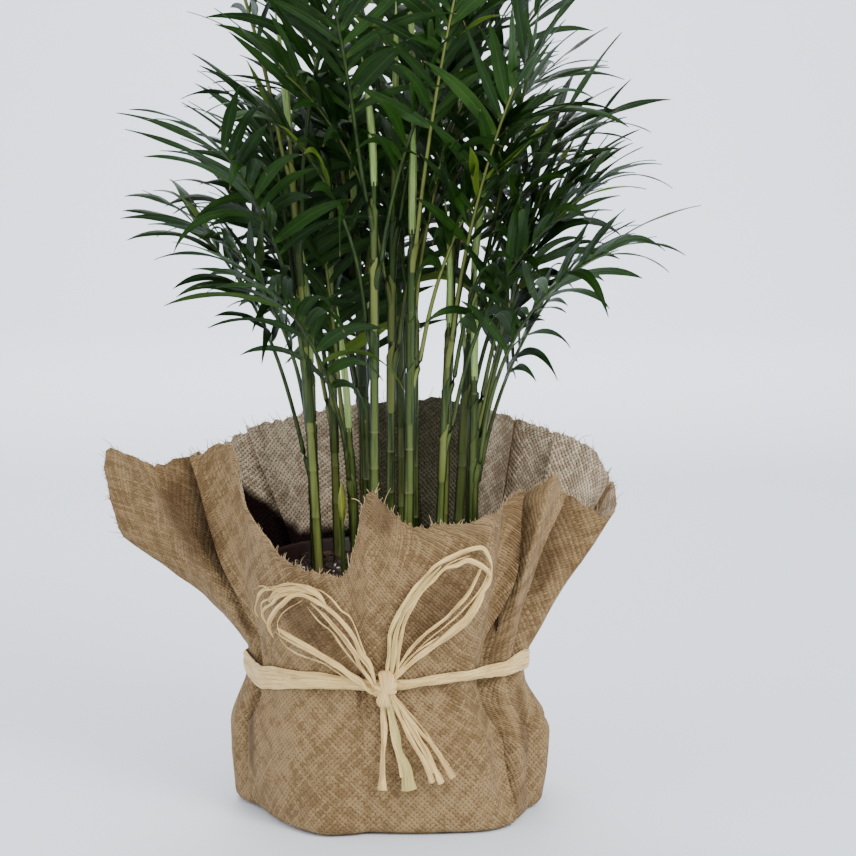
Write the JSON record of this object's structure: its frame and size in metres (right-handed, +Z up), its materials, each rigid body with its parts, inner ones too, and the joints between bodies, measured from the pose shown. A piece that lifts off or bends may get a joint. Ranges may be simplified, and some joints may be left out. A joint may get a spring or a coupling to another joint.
{
  "type": "potted parlor palm",
  "caption": "Potted parlor palm in a burlap wrap, gathered round its nursery pot and tied with a raffia bow.",
  "frame": {"origin": "on the pot's axis, where the wrap's flat floor meets the table", "axes": "+Z up along the pot's axis, -Y to the front where the bow is, +X to the bow's right hand side as seen from the front"},
  "size_m": [0.2727, 0.2458, 0.4812],
  "materials": {
    "burlap": "matte",
    "raffia": "satin",
    "pot": "matte",
    "soil": "matte",
    "palm": "satin"
  },
  "bodies": {
    "root": {"burlap_wrap": "burlap", "nursery_pot": "pot", "soil": "soil", "raffia_band": "raffia", "raffia_knot": "raffia", "raffia_loop_left": "raffia", "raffia_loop_right": "raffia", "raffia_tail_1": "raffia", "raffia_tail_2": "raffia", "raffia_tail_3": "raffia", "raffia_tail_4": "raffia", "raffia_tail_5": "raffia", "leafy_stem_1": "palm", "leafy_stem_2": "palm", "leafy_stem_3": "palm", "leafy_stem_4": "palm", "leafy_stem_5": "palm", "leafy_stem_6": "palm", "leafy_stem_7": "palm", "leafy_stem_8": "palm", "leafy_stem_9": "palm", "leafy_stem_10": "palm", "leafy_stem_11": "palm", "leafy_stem_12": "palm", "leafy_stem_13": "palm", "leafy_stem_14": "palm", "leafy_stem_15": "palm", "leafy_stem_16": "palm"}
  },
  "joints": []
}
